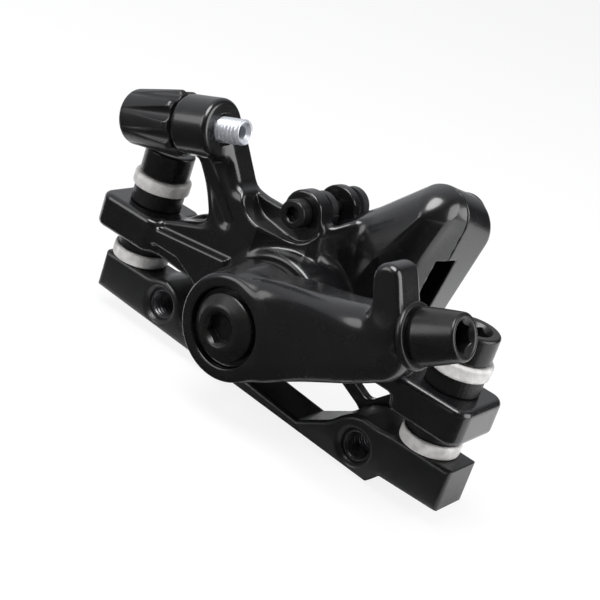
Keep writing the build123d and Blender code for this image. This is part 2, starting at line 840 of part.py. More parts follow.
# Lever: the arm's outline met by its plan, then the hub
arm_plane = facing(hub_back_y, arm_rise_deg)
arm_u = arm_plane.x_dir
arm_v = arm_plane.y_dir
plan_plane = Plane(origin=(0, 0, 0), x_dir=arm_u, z_dir=arm_v)
anchor_plane = Plane(
    origin=arm_u * arm_end_u + arm_v * anchor_v + Vector(0, anchor_y, 0), x_dir=(0, 1, 0), z_dir=arm_u
)
arm_circles = ((arm_root_u, 0, arm_root_r), (arm_tip_u, arm_tip_v, arm_tip_r))
horn_circles = ((horn_low_u, horn_low_v, horn_low_r), (horn_top_u, horn_top_v, horn_top_r))
with BuildPart() as actuator_lever:
    for limb in (arm_circles, horn_circles):
        extrude(to_extrude=hull_outline(hub_back_y, *limb, angle=arm_rise_deg), amount=hub_back_y - arm_end_front_y)
    with BuildSketch(plan_plane):
        with BuildLine():
            Polyline(
                (-hub_back_r, hub_back_y),
                (arm_bend_start_u, hub_back_y),
                (arm_bend_end_u, arm_end_back_y),
                (arm_end_u, arm_end_back_y),
                (arm_end_u, arm_end_front_y),
                (arm_bend_end_u, arm_end_front_y),
                (arm_bend_start_u, hub_front_y),
                (-hub_back_r, hub_front_y),
                close=True,
            )
        make_face()
    extrude(amount=arm_end_u, both=True, mode=Mode.INTERSECT)
    with BuildSketch(Plane.XY):
        with BuildLine():
            Polyline(
                (0, hub_front_y),
                (hub_front_r, hub_front_y),
                (hub_back_r, hub_back_y),
                (0, hub_back_y),
                close=True,
            )
        make_face()
    revolve(axis=Axis.Y)
    with BuildSketch(facing(hub_front_y)):
        Circle(recess_r)
    extrude(amount=-recess_depth, mode=Mode.SUBTRACT)
    with BuildSketch(facing(hub_back_y)):
        Rectangle(square_side + fit * 2, square_side + fit * 2)
    extrude(amount=hub_back_y - hub_front_y, mode=Mode.SUBTRACT)
    # Hollow for the return spring, and the anchor's threaded hole
    with BuildSketch(facing(hub_back_y)):
        Circle(spring_mean_r + spring_wire_r + slack * 2)
        Circle(spring_mean_r - spring_wire_r - slack * 2, mode=Mode.SUBTRACT)
    extrude(amount=spring_hollow, mode=Mode.SUBTRACT)
    with BuildSketch(anchor_plane):
        Circle(anchor_shank_r + fit)
    extrude(amount=-anchor_shank_length - slack, mode=Mode.SUBTRACT)
save(actuator_lever.part, "actuator_lever")

# Lever bolt, its flange dished round the hex socket
flange_y = hub_front_y + recess_depth
with BuildPart() as lever_bolt:
    with BuildSketch(facing(flange_y)):
        Circle(lever_flange_r)
    extrude(amount=recess_depth + lever_flange_height)
    with BuildSketch(facing(flange_y)):
        Circle(lever_bolt_r)
    extrude(amount=flange_y - hub_back_y + slack)
    with BuildSketch(facing(hub_front_y - lever_flange_height)):
        RegularPolygon(lever_socket_across / 2, 6, major_radius=False)
    extrude(amount=-lever_socket_depth, mode=Mode.SUBTRACT)
save(lever_bolt.part, "lever_bolt")

anchor_axis = Axis(anchor_plane.origin, arm_u)

# Cable anchor on the arm's end face: washer and tapered socket-head bolt
with BuildPart() as anchor_washer:
    with BuildSketch(anchor_plane):
        Circle(anchor_washer_r)
        Circle(anchor_shank_r + slack, mode=Mode.SUBTRACT)
    extrude(amount=anchor_washer_height)
save(anchor_washer.part, "anchor_washer")

with BuildPart() as anchor_bolt:
    with BuildSketch(anchor_plane.offset(anchor_washer_height)):
        Circle(anchor_head_r)
    with BuildSketch(anchor_plane.offset(anchor_washer_height + anchor_head_length)):
        Circle(anchor_head_tip_r)
    loft()
    chamfer(anchor_bolt.faces().sort_by(anchor_axis)[-1].edges(), anchor_head_edge)
    with BuildSketch(anchor_plane.offset(-anchor_shank_length)):
        Circle(anchor_shank_r)
    extrude(amount=anchor_shank_length + anchor_washer_height)
    with BuildSketch(anchor_plane.offset(anchor_washer_height + anchor_head_length)):
        RegularPolygon(anchor_socket_across / 2, 6, major_radius=False)
    extrude(amount=-anchor_socket_depth, mode=Mode.SUBTRACT)
save(anchor_bolt.part, "anchor_bolt")

# Return spring: a coil round the spindle's neck, in a hollow of the lever's hub
spring_y = housing_front_y - boot_thickness - spring_wire_r - fit
with BuildPart() as return_spring:
    with BuildLine():
        coil = Helix(
            pitch=spring_pitch,
            height=spring_pitch * spring_turns,
            radius=spring_mean_r,
            center=(0, spring_y, 0),
            direction=(0, -1, 0),
        )
    with BuildSketch(Plane(origin=coil @ 0, z_dir=coil % 0)):
        Circle(spring_wire_r)
    sweep()
save(return_spring.part, "return_spring")
samples = [coil @ (step / (spring_samples * spring_turns)) for step in range(spring_samples * spring_turns + 1)]
least_gap = min(
    (samples[i] - samples[j]).length
    for i in range(len(samples))
    for j in range(i + spring_samples // 2, len(samples))
) - spring_wire_r * 2
print(f"return spring: least gap between turns {least_gap:.2f} mm")

# Barrel adjuster: hollow screw through the boss and a ribbed knob on its outer end
with BuildPart() as barrel_adjuster_screw:
    with BuildSketch(barrel_plane(-boss_length - knob_gap - screw_bite)):
        Circle(barrel_screw_r)
        Circle(barrel_bore_r, mode=Mode.SUBTRACT)
    extrude(amount=screw_bite + knob_gap + boss_length + barrel_tip)
save(barrel_adjuster_screw.part, "barrel_adjuster_screw")

knob_plane = barrel_plane(-boss_length - knob_gap)
knob_axis = Axis(knob_plane.origin, -barrel_dir)
with BuildPart() as barrel_adjuster_knob:
    with BuildSketch(knob_plane):
        Circle(knob_inner_r)
    with BuildSketch(knob_plane.offset(-knob_length)):
        Circle(knob_outer_r)
    loft()
    fillet(barrel_adjuster_knob.faces().sort_by(knob_axis)[-1].edges(), knob_edge)
    with BuildSketch(knob_plane):
        with PolarLocations(knob_inner_r, knob_ribs):
            Circle(knob_groove_r)
    extrude(amount=-knob_length + knob_groove_r * 2, mode=Mode.SUBTRACT)
    with BuildSketch(knob_plane):
        Circle(barrel_screw_r + fit)
    extrude(amount=-screw_bite, mode=Mode.SUBTRACT)
    with BuildSketch(knob_plane):
        Circle(barrel_bore_r)
    extrude(amount=-knob_length, mode=Mode.SUBTRACT)
    with BuildSketch(knob_plane.offset(-knob_length)):
        Circle(housing_socket_r)
    extrude(amount=knob_length - screw_bite - knob_groove_r, mode=Mode.SUBTRACT)
save(barrel_adjuster_knob.part, "barrel_adjuster_knob")

# Inboard adjuster: a seat that pushes the inboard pad, and a ribbed dial outside with a stub in the seat
with BuildPart() as inboard_adjuster_seat:
    with BuildSketch(facing(seat_back_y)):
        Circle(seat_r)
    extrude(amount=seat_thickness)
    with BuildSketch(facing(inboard_depth - fit)):
        Circle(seat_screw_r)
    extrude(amount=inboard_depth - fit - seat_back_y)
    with BuildSketch(facing(inboard_depth)):
        Circle(dial_stub_r + fit)
    extrude(amount=inboard_depth - plate_back_y - fit, mode=Mode.SUBTRACT)
save(inboard_adjuster_seat.part, "inboard_adjuster_seat")

dial_y = inboard_depth + detent_height
with BuildPart() as inboard_adjuster_dial:
    with BuildSketch(facing(dial_y + dial_height)):
        Circle(dial_r)
        with PolarLocations(dial_r, dial_ribs):
            Circle(knob_groove_r, mode=Mode.SUBTRACT)
    extrude(amount=dial_height)
    with BuildSketch(facing(dial_y)):
        Circle(dial_stub_r)
    extrude(amount=dial_y - seat_back_y)
    with BuildSketch(facing(dial_y + dial_height)):
        RegularPolygon(mount_socket_across / 2, 6, major_radius=False)
    extrude(amount=dial_height / 2, mode=Mode.SUBTRACT)
save(inboard_adjuster_dial.part, "inboard_adjuster_dial")

with BuildPart() as adjuster_detent:
    with BuildSketch(facing(dial_y)):
        Circle(detent_r)
        Circle(seat_screw_r + slack * 2, mode=Mode.SUBTRACT)
    extrude(amount=detent_height)
save(adjuster_detent.part, "adjuster_detent")

# Pad spring: a leaf under the roof, with two legs that hang between the rotor's rim and the plates
with BuildPart() as pad_spring:
    with BuildSketch(Plane.YZ.offset(pin_x - spring_leaf_width / 2)):
        with BuildLine():
            FilletPolyline(
                (-spring_leg_y, spring_leg_z),
                (-spring_leg_y, spring_crown_z - spring_leaf_thickness),
                (spring_leg_y, spring_crown_z - spring_leaf_thickness),
                (spring_leg_y, spring_leg_z),
                radius=spring_bend_r,
            )
            offset(amount=spring_leaf_thickness, side=Side.LEFT)
        make_face()
    extrude(amount=spring_leaf_width)
save(pad_spring.part, "pad_spring")
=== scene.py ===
import json
import math

import bpy
import numpy as np
from mathutils import Matrix, Vector


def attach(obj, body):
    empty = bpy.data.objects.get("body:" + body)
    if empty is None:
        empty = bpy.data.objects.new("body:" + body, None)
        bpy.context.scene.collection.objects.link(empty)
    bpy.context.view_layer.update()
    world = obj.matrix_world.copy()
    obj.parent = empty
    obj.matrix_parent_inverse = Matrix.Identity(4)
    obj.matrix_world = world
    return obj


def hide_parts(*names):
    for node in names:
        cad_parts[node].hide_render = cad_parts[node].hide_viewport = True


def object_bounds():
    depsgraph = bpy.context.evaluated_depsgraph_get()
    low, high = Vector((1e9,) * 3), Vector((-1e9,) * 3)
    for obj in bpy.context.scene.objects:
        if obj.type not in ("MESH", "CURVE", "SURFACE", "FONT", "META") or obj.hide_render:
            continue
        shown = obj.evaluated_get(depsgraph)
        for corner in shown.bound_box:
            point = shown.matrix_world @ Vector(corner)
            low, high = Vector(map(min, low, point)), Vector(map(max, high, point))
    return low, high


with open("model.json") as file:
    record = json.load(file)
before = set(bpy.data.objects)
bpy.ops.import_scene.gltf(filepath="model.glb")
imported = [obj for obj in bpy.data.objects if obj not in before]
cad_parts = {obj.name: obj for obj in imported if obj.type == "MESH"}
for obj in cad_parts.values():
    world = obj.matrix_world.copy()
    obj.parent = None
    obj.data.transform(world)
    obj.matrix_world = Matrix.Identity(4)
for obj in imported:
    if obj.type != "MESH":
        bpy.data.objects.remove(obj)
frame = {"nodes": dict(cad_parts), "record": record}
cad_low, cad_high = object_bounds()

# Lengths below are in millimetres, in the CAD frame; meshes are written in metres
MM = 0.001
STEP = 0.34
FINE_STEP = 0.17


# Distance fields: negative inside, in millimetres

FAR = 1e9
TINY = 1e-12
# A direction that no rod runs along
ANY_SIDE = (0.3, 0.9, 0.2)
# The edge radius of most cutters, and the rounding that a bore leaves at its mouth
CRISP, BORE_LIP = 0.1, 0.2


def ease(t):
    """A smooth step from 0 to 1 as t goes from 0 to 1."""
    t = np.clip(t, 0, 1)
    return t * t * (3 - 2 * t)


def blend(a, b, k):
    """Joins two fields with a fillet of about k."""
    h = np.clip(0.5 + 0.5 * (b - a) / k, 0, 1)
    return b * (1 - h) + a * h - k * h * (1 - h)


def carve(a, b, k):
    """Cuts field b out of field a, with the edge rounded by about k."""
    return -blend(-a, b, k)


def round_corner(a, b, r):
    """Where two bounds meet, an edge of radius r."""
    u = np.maximum(a + r, 0)
    v = np.maximum(b + r, 0)
    return np.minimum(np.maximum(a, b) + r, 0) + np.hypot(u, v) - r


def circle(u, v, r, centre=(0, 0)):
    """A flat round outline."""
    return np.hypot(u - centre[0], v - centre[1]) - r


def hull(u, v, a, b):
    """A flat outline round two circles (x, y, radius) and the tangents between them."""
    du, dv = b[0] - a[0], b[1] - a[1]
    h = du * du + dv * dv
    s = ((u - a[0]) * dv - (v - a[1]) * du) / h
    t = ((u - a[0]) * du + (v - a[1]) * dv) / h
    s = abs(s)
    drop = a[2] - b[2]
    cx = np.sqrt(h - drop * drop)
    k = cx * t - drop * s
    n = s * s + t * t
    side = cx * s + drop * t - a[2]
    near = np.sqrt(h * n) - a[2]
    far = np.sqrt(np.maximum(h * (n + 1 - 2 * t), 0)) - b[2]
    return np.where(k < 0, near, np.where(k > cx, far, side))


def polygon(u, v, points):
    """A flat outline with straight sides."""
    shape = np.broadcast(u, v).shape
    best = np.full(shape, FAR)
    inside = np.zeros(shape, bool)
    for (x0, y0), (x1, y1) in zip(points, points[1:] + points[:1]):
        ex, ey = x1 - x0, y1 - y0
        wx, wy = u - x0, v - y0
        t = np.clip((wx * ex + wy * ey) / (ex * ex + ey * ey), 0, 1)
        best = np.minimum(best, (wx - ex * t) ** 2 + (wy - ey * t) ** 2)
        crosses = ((y0 > v) != (y1 > v)) & (u < (x1 - x0) * (v - y0) / (y1 - y0 + TINY) + x0)
        inside ^= crosses
    return np.where(inside, -1, 1) * np.sqrt(best)


def hexagon(u, v, across):
    """A flat six-sided outline, this far across its flats."""
    sixth = math.radians(60)
    lean, tilt = math.cos(sixth), math.sin(sixth)
    return np.maximum(abs(u), np.maximum(abs(u * lean + v * tilt), abs(u * lean - v * tilt))) - across / 2


def slab(flat, w, low, high, r):
    """An outline given thickness from low to high, its edges rounded by r."""
    return round_corner(flat, abs(w - (low + high) / 2) - (high - low) / 2, r)


def bore(body, flat, w, low, high):
    """Cuts an outline out of a body from low to high; an end outside the body only has to clear it."""
    return carve(body, slab(flat, w, low, high, CRISP), BORE_LIP)


def along(p, origin, axis, side):
    """Coordinates of p on the axis from the origin, and across it."""
    q = [p[i] - origin[i] for i in range(3)]
    a = Vector(axis).normalized()
    s = (Vector(side) - a * a.dot(Vector(side))).normalized()
    t = a.cross(s)
    return tuple(sum(q[i] * d[i] for i in range(3)) for d in (a, s, t))


def rod(p, origin, axis, r, low, high, edge):
    """A round rod on an axis, from low to high along it."""
    w, u, v = along(p, origin, axis, ANY_SIDE)
    return slab(np.hypot(u, v) - r, w, low, high, edge)


# Meshes from fields

CORNERS = [(i, j, k) for i in (0, 1) for j in (0, 1) for k in (0, 1)]
EDGES = [(a, b) for a in range(8) for b in range(a + 1, 8)
         if sum(abs(CORNERS[a][i] - CORNERS[b][i]) for i in range(3)) == 1]
SETTLE_PASSES = 2
SETTLE_PROBE, NORMAL_PROBE = 0.02, 0.08
LEAST_SLOPE_SQUARED = 0.2
LEAST_NORMAL = 1e-6


def cell_vertices(value, inside, low, step):
    """A vertex in each grid cell that the surface crosses, and each cell's vertex number."""
    cells = tuple(c - 1 for c in value.shape)
    filled = np.zeros(cells, np.int8)
    for i, j, k in CORNERS:
        filled += inside[i:i + cells[0], j:j + cells[1], k:k + cells[2]]
    active = np.argwhere((filled > 0) & (filled < len(CORNERS)))
    index = np.full(cells, -1, np.int32)
    index[tuple(active.T)] = np.arange(len(active))
    at = np.stack([value[tuple((active + c).T)] for c in CORNERS])
    total = np.zeros((len(active), 3))
    number = np.zeros(len(active))
    for a, b in EDGES:
        cut = (at[a] < 0) != (at[b] < 0)
        t = np.where(cut, at[a] / np.where(cut, at[a] - at[b], 1), 0)
        start, span = np.array(CORNERS[a]), np.array(CORNERS[b]) - np.array(CORNERS[a])
        total += np.where(cut[:, None], start + t[:, None] * span, 0)
        number += cut
    return low + step * (active + total / number[:, None]), index


def cell_quads(inside, index):
    """A quad across each grid edge that the surface crosses, wound to face outward."""
    quads = []
    for axis in range(3):
        other = [i for i in range(3) if i != axis]
        first = inside[tuple(slice(0, -1) if i == axis else slice(1, -1) for i in range(3))]
        second = inside[tuple(slice(1, None) if i == axis else slice(1, -1) for i in range(3))]
        spots = np.argwhere(first != second)
        base = spots + np.array([0 if i == axis else 1 for i in range(3)])
        ring = []
        for da, db in ((1, 1), (0, 1), (0, 0), (1, 0)):
            shift = np.zeros(3, int)
            shift[other[0]], shift[other[1]] = da, db
            ring.append(index[tuple((base - shift).T)])
        ring = np.stack(ring, 1)
        out = inside[tuple(base.T)] != (axis == 1)
        ring[~out] = ring[~out][:, ::-1]
        quads.append(ring)
    return np.concatenate(quads)


def slope(field, p, e):
    """The field's slope at each point, measured from e before it to e beyond it."""
    return np.stack([
        (field(tuple(p[:, i] + e * (i == a) for i in range(3)))
         - field(tuple(p[:, i] - e * (i == a) for i in range(3)))) / (2 * e)
        for a in range(3)
    ], 1)


def surface(field, low, high, step):
    """Vertices, quads and normals of the field's zero surface, on a grid and then moved onto it."""
    low = np.array(low, float)
    count = np.ceil((np.array(high, float) - low) / step).astype(int) + 1
    axes = [low[i] + step * np.arange(count[i]) for i in range(3)]
    value = field((axes[0][:, None, None], axes[1][None, :, None], axes[2][None, None, :]))
    value = np.broadcast_to(value, tuple(count)).astype(np.float32)
    inside = value < 0
    points, index = cell_vertices(value, inside, low, step)
    quads = cell_quads(inside, index)
    for _ in range(SETTLE_PASSES):
        g = slope(field, points, SETTLE_PROBE)
        size = np.maximum((g * g).sum(1), LEAST_SLOPE_SQUARED)
        move = np.clip(field(tuple(points.T)) / size, -step, step)
        points -= g * move[:, None]
    g = slope(field, points, NORMAL_PROBE)
    normals = g / np.maximum(np.linalg.norm(g, axis=1), LEAST_NORMAL)[:, None]
    return points, quads, normals


def mesh_object(name, points, faces, normals=None):
    """A smooth mesh object in metres from points in millimetres."""
    mesh = bpy.data.meshes.new(name)
    mesh.from_pydata([tuple(p) for p in np.asarray(points) * MM], [], [tuple(int(i) for i in f) for f in faces])
    mesh.update()
    mesh.shade_smooth()
    if normals is not None:
        mesh.normals_split_custom_set_from_vertices([tuple(n) for n in normals])
    thing = bpy.data.objects.new(name, mesh)
    bpy.context.scene.collection.objects.link(thing)
    return thing


HERE = ((0, 0, 0),)


def cast(name, field, low, high, step=STEP, places=HERE):
    """A piece from its distance field, repeated at each of the places."""
    points, quads, normals = surface(field, low, high, step)
    shifts = np.repeat(np.array(places, float), len(points), axis=0)
    many = np.tile(points, (len(places), 1)) + shifts
    faces = np.concatenate([quads + i * len(points) for i in range(len(places))])
    return mesh_object(name, many, faces, np.tile(normals, (len(places), 1)))


# Sizes that several pieces share; they follow the CAD model. A circle is (x, z, radius)

POST_X, POST_Y = 37.0, -10.3
EAR_LOW, EAR_TOP = -1.85, 5.15
ADAPTER_TOP = -7.2
MOUNT_HEAD_LOW, MOUNT_HEAD_TOP = 11.35, 16.85
LOWER_CUP_RIM, UPPER_CUP_RIM = -4.4, 8.55
FRAME_HOLES = ((-25.5, -11.16), (25.5, -13.6))

PIN = (-3.4, 19.4)
PIN_HEAD_SEAT, PIN_BORE_R = -11.3, 1.55
LUG = ((*PIN, 4.3), (-1.6, 10.0, 5.2))

RISE = math.radians(17.4)
BARREL_AXIS = (math.cos(RISE), 0.0, math.sin(RISE))
BOSS_FACE = (-21.55, -17.0, 28.35)
BOSS_BACK = -8.8
KNOB_LENGTH, FLUTES = 13.0, 9
BARREL_THREAD_R, THREAD_PITCH = 2.5, 0.8

HOUSING_FRONT, HOUSING_BACK_R = -16.5, 13.3
BEAK_TIP = (18.1, 28.45, 5.6)
BEAK_ROOT = (7.2, 6.2, 13.5)
INBOARD_TIP = (18.5, 25.0, 6.3)
INBOARD_DEPTH = 9.8
LEFT_BOLT, BEAK_BOLT = (-22.0, 4.0), (16.4, 26.0)
BOLTS = (BEAK_BOLT, LEFT_BOLT)
LEFT_JOIN = ((*LEFT_BOLT, 5.4), (0, 0, 9.0))
SLOT_HALF = 2.3

ARM_RISE = math.radians(28)
ARM_AXIS = (math.cos(ARM_RISE), 0.0, math.sin(ARM_RISE))
ARM_END = 40.4
ANCHOR = (-0.8, -30.3)
HUB_FRONT, HUB_BACK = -29.6, -19.2
FLANGE_SEAT = -28.0


# Castings

ROTOR_CENTRE, ROTOR_ROOM_R = (36.2, -59.9), 82
POCKET_HALF, POCKET_MIDDLE = (11.45, 9.25), -0.2
POCKET_DEEP = 6.45
TAB_HALF, TAB_LOW, TAB_FRONT = 4.25, 8.4, 2.9
LEAF_HALF, LEAF_MIDDLE, LEAF_DEEP = (2.8, 2.05), 11.9, 3.1


def rotor_room(p):
    """The slot for the rotor, the pads' pocket, the slots for their tabs and the room for their spring."""
    x, y, z = p
    slot = slab(circle(x, z, ROTOR_ROOM_R, ROTOR_CENTRE), y, -SLOT_HALF, SLOT_HALF, 0.2)
    pocket = np.maximum(abs(x) - POCKET_HALF[0], abs(z - POCKET_MIDDLE) - POCKET_HALF[1])
    pocket = slab(pocket, y, -POCKET_DEEP, POCKET_DEEP, CRISP)
    tab = slab(np.maximum(abs(x - PIN[0]) - TAB_HALF, TAB_LOW - z), abs(y), TAB_FRONT, POCKET_DEEP, CRISP)
    leaf = np.maximum(abs(x - PIN[0]) - LEAF_HALF[0], abs(z - LEAF_MIDDLE) - LEAF_HALF[1])
    leaf = slab(leaf, y, -LEAF_DEEP, LEAF_DEEP, CRISP)
    return np.minimum(np.minimum(slot, pocket), np.minimum(tab, leaf))


EAR_CENTRE, EAR_HALF = (37.25, -10.8), (7.75, 7.5)
EAR_CORNER, EAR_EDGE = 2.8, 1.2
EAR_SLOT_REACH, EAR_SLOT_R = 1.5, 3.3


def ear(p, sign):
    """An ear for a mounting bolt."""
    x, y, z = p
    flat = round_corner(abs(x * sign - EAR_CENTRE[0]) - EAR_HALF[0], abs(y - EAR_CENTRE[1]) - EAR_HALF[1], EAR_CORNER)
    return slab(flat, z, EAR_LOW, EAR_TOP, EAR_EDGE)


def ear_slot(p, sign):
    """The outline of the slot through an ear."""
    x, y, _ = p
    ends = [(POST_X, POST_Y + reach, EAR_SLOT_R) for reach in (-EAR_SLOT_REACH, EAR_SLOT_REACH)]
    return hull(x * sign, y, *ends)


# Depth of the beak: at its rim, what the dome adds, and how far in from the rim the dome rises
BEAK_RIM, BEAK_DOME, BEAK_ROLL = 2.4, 7.2, 3.6
# The dome's share of its height near the housing, and what it gains away from it over this run
DOME_NEAR, DOME_GAIN, DOME_RUN = 0.64, 0.36, 10
# Direction across the beak, from its left side to its right side
BEAK_ACROSS = (0.9, 0.436)
LEAN_LEFT, LEAN_GAIN, LEAN_RUN = 0.03, 0.39, 6


def beak_front(p):
    """The beak's outboard half: a leaning side wall and a domed front that falls towards the housing."""
    x, y, z = p
    lobe = hull(x, z, BEAK_TIP, BEAK_ROOT)
    inside = np.maximum(-lobe, 0)
    away = ease((np.hypot(x, z) - HOUSING_BACK_R) / DOME_RUN)
    depth = BEAK_RIM + BEAK_DOME * (1 - np.exp(-inside / BEAK_ROLL)) * (DOME_NEAR + DOME_GAIN * away)
    side = (x - BEAK_ROOT[0]) * BEAK_ACROSS[0] - (z - BEAK_ROOT[1]) * BEAK_ACROSS[1]
    lean = LEAN_LEFT + LEAN_GAIN * ease(side / LEAN_RUN)
    wall = (lobe - lean * y) / np.sqrt(1 + lean * lean)
    edge = 0.5 + 1.4 * ease((4 - side) / 8)
    return round_corner(round_corner(wall, (-y - depth) / 1.2, edge), y, 0.3)


HOUSING_FRONT_R, HOUSING_FLARE, HOUSING_RUN = 12.2, 1.1, 10.4
BRACKET_ARM = ((-25.8, 25.4, 4.4), (-17.2, 13.8, 4.5))
BRACKET_WEB = ((-31.0, 1.6, 3.2), (-8.0, 5.4, 8.6))
BRACKET_SADDLE = ((-12.4, 13.3, 5.2), (-4.0, 13.3, 5.2))
BRACKET_DEEP, BRACKET_BACK = 16.2, 9.2
# The bracket's front drops back by this much a millimetre, from here to the right
BRACKET_FALL, FALL_START, FALL_RUN = 0.55, -8.5, 10
SOFT_SPOT, SOFT_SPREAD = (-23.0, 17.5), 60
JOIN_DEEP = 11.5
LEFT_LINK = [(-32.1, 0.7), (-32.1, 3.6), (-12.2, 5.8), (-7.6, -8.0), (-17.5, -2.1), (-23.5, 0.7)]
RIGHT_LINK = [(7.6, 8.0), (23.5, 6.2), (32.1, 3.6), (32.1, 0.7), (23.5, 0.7), (7.6, -8.0)]
LINK_FRONT, LINK_BACK = -17.6, -12.7
STRUT_ROOT, STRUT_FOOT, STRUT_EAR = (9.0, -5.6, 1.4), (20.2, -10.9, 1.3), (31.0, -0.6, 1.5)
STRUT_FRONT, STRUT_BACK = -5.2, -2.8
BOSS_R = 5.8
LUG_BACK = -7.3
RIDGE = [(-14.0, 6.0), (-9.5, 9.8), (-5.7, 13.3), (-1.8, 15.9), (2.0, 18.6), (5.6, 21.9), (9.0, 22.5), (10.0, 7.0)]
RIDGE_DEEP, RIDGE_FALL, RIDGE_RUN = 11.7, 0.9, 9


def outboard_form(p):
    """The outboard casting before its cuts."""
    x, y, z = p
    # Actuator housing, a little wider towards the rotor
    wide = HOUSING_FRONT_R + HOUSING_FLARE * np.clip((y - HOUSING_FRONT) / HOUSING_RUN, 0, 1)
    housing = slab(np.hypot(x, z) - wide, y, HOUSING_FRONT, -SLOT_HALF, 1.0)
    body = blend(housing, beak_front(p), 0.8)
    # Cable bracket: arm, web and saddle, with the arm's left edge rounded most
    arm, web, saddle = (hull(x, z, *ends) for ends in (BRACKET_ARM, BRACKET_WEB, BRACKET_SADDLE))
    plate = blend(blend(arm, web, 3.4), saddle, 3.0)
    soft = 0.9 + 2.9 * np.exp(-((x - SOFT_SPOT[0]) ** 2 + (z - SOFT_SPOT[1]) ** 2) / SOFT_SPREAD)
    front = BRACKET_DEEP - BRACKET_FALL * np.clip(x - FALL_START, 0, FALL_RUN)
    plate = round_corner(round_corner(plate, -y - front, soft), y + BRACKET_BACK, 0.9)
    body = blend(body, plate, 1.6)
    # Left join, behind the web
    join = round_corner(hull(x, z, *LEFT_JOIN), -y - JOIN_DEEP, 0.9)
    body = blend(body, round_corner(join, y, 0.3), 1.4)
    # Link bars that stand forward of the web
    for link, edge, fillet in ((LEFT_LINK, 0.7, 0.9), (RIGHT_LINK, 0.9, 1.4)):
        body = blend(body, slab(polygon(x, z, link), y, LINK_FRONT, LINK_BACK, edge), fillet)
    # Strut below the right link
    strut = blend(hull(x, z, STRUT_ROOT, STRUT_FOOT), hull(x, z, STRUT_FOOT, STRUT_EAR), 1.4)
    body = blend(body, slab(strut, y, STRUT_FRONT, STRUT_BACK, 0.5), 1.2)
    for sign in (-1, 1):
        body = blend(body, ear(p, sign), 1.2)
    # Barrel boss, and the lug for the pad pin
    body = blend(body, rod(p, BOSS_FACE, BARREL_AXIS, BOSS_R, BOSS_BACK, 0.0, 1.1), 1.8)
    body = blend(body, slab(hull(x, z, *LUG), y, PIN_HEAD_SEAT, LUG_BACK, 0.6), 1.4)
    # Smooth ridge from the arm's foot to the beak, in front of the lug's root
    deep = RIDGE_DEEP - RIDGE_FALL * np.clip(x - 1, 0, RIDGE_RUN)
    ridge = round_corner(round_corner(polygon(x, z, RIDGE), -y - deep, 1.8), y, 0.3)
    return blend(body, ridge, 2.4)


CHANNEL = ((-24.6, 20.6, 1.0), (-15.8, 12.6, 1.0))
CHANNEL_FLOOR = -15.8
PIN_HEAD_ROOM = ((*PIN, 5.4), (-8.4, 20.8, 6.0))
PIN_HEAD_FLOOR = -11.35
BOOT_SEAT_R, RAMP_BORE_R, BUSH_BORE_R = 10.9, 9.6, 4.95
RAMP_BORE_FRONT = -14.1
BARREL_BORE_R, BARREL_MOUTH_R, KNOB_ROOM_R = 2.55, 2.9, 6.8
BOLT_BORE_R, BOLT_BORE_END = 3.0, -4.3


def outboard(p):
    """The outboard casting."""
    x, y, z = p
    body = carve(outboard_form(p), rotor_room(p), 0.4)
    # Shallow channel down the arm's front, and the pocket round the pin's head
    body = carve(body, slab(hull(x, z, *CHANNEL), y, -19, CHANNEL_FLOOR, 0.4), 1.8)
    body = carve(body, slab(hull(x, z, *PIN_HEAD_ROOM), y, -22, PIN_HEAD_FLOOR, 0.3), 0.7)
    # Seat for the dust boot, and the actuator's bores
    body = bore(body, circle(x, z, BOOT_SEAT_R), y, -30, HOUSING_FRONT)
    body = bore(body, circle(x, z, RAMP_BORE_R), y, RAMP_BORE_FRONT, 0)
    body = bore(body, circle(x, z, BUSH_BORE_R), y, -20, 0)
    # The barrel's bore and its mouth, and the room for the knob
    for r, low, high in (
        (BARREL_BORE_R, BOSS_BACK - 1, 0.5),
        (BARREL_MOUTH_R, -0.3, 5.5),
        (KNOB_ROOM_R, BOSS_BACK - KNOB_LENGTH, BOSS_BACK),
    ):
        body = carve(body, rod(p, BOSS_FACE, BARREL_AXIS, r, low, high, CRISP), 0.3)
    # Holes for the pad pin, the body bolts and the mounting bolts
    body = bore(body, circle(x, z, PIN_BORE_R, PIN), y, -12, 0)
    for place in BOLTS:
        body = bore(body, circle(x, z, BOLT_BORE_R, place), y, BOLT_BORE_END, 2)
    for sign in (-1, 1):
        body = carve(body, slab(ear_slot(p, sign), z, -4, 8, CRISP), 0.4)
    return body


INBOARD_EDGE = 1.5
SEAT_BORE_R, SEAT_BORE_BACK = 7.3, 8.0
DIAL_BORE_R, BOLT_ROOM_R = 4.05, 3.3


def inboard(p):
    """The inboard casting, whose beak gets shorter towards the back."""
    x, y, z = p
    t = np.clip(y / INBOARD_DEPTH, 0, 1)
    tip = tuple(BEAK_TIP[i] + (INBOARD_TIP[i] - BEAK_TIP[i]) * t for i in range(3))
    beak, drum, join = (
        round_corner(flat, y - INBOARD_DEPTH, INBOARD_EDGE)
        for flat in (hull(x, z, BEAK_ROOT, tip), circle(x, z, HOUSING_BACK_R), hull(x, z, *LEFT_JOIN))
    )
    body = blend(blend(beak, drum, 1.2), join, 1.8)
    body = blend(body, slab(hull(x, z, *LUG), y, -1, SLOT_HALF, 0.5), 0.8)
    body = round_corner(body, -y, 0.3)
    body = carve(body, rotor_room(p), 0.4)
    # Bores for the adjuster, and holes for the pad pin and the body bolts
    body = bore(body, circle(x, z, SEAT_BORE_R), y, 0, SEAT_BORE_BACK)
    body = bore(body, circle(x, z, DIAL_BORE_R), y, 0, 12)
    body = bore(body, circle(x, z, PIN_BORE_R, PIN), y, -2, 12)
    for place in BOLTS:
        body = bore(body, circle(x, z, BOLT_ROOM_R, place), y, -2, 12)
    return body


HUB_FRONT_R, HUB_FLARE, HUB_RUN = 10.0, 1.4, 10.4
